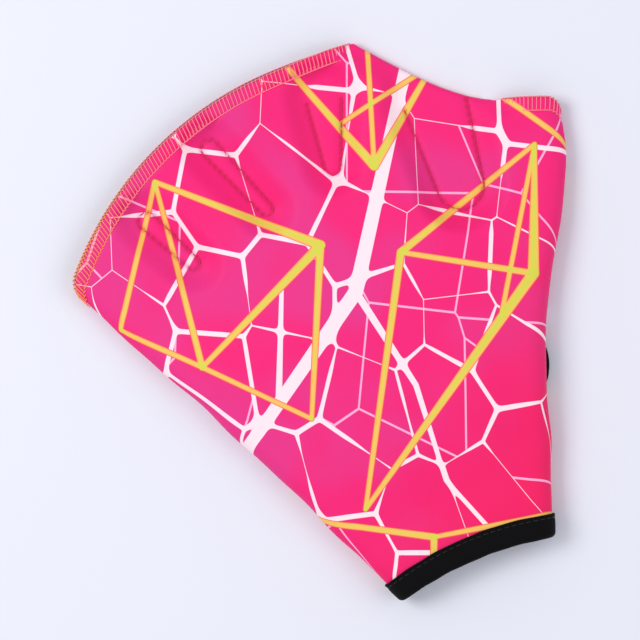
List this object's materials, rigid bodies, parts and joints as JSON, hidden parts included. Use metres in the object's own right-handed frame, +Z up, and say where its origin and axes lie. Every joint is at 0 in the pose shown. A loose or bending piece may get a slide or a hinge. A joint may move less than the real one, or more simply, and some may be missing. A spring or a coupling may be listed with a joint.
{
  "type": "webbed swim glove",
  "caption": "Fingerless neoprene swim glove whose panels web the spread fingers of a left hand, with bound wrist opening and side hole.",
  "frame": {"origin": "on the flat underside of the palm panel, 110 mm from the cuff's corner line, midway between the straight sides", "axes": "+Y from the wrist to the fingers, +X toward the thumb, +Z up out of the back of the hand"},
  "size_m": [0.2204, 0.2277, 0.0172],
  "materials": {
    "printed_neoprene": "matt knit jersey with an all-over print on foam neoprene",
    "black_tape": "matt black knit binding tape",
    "pink_thread": "soft polyester thread",
    "black_thread": "polyester thread with a faint sheen"
  },
  "bodies": {
    "root": {"back_panel": "printed_neoprene", "palm_panel": "printed_neoprene", "cuff_binding": "black_tape", "hole_binding": "black_tape"}
  },
  "joints": []
}
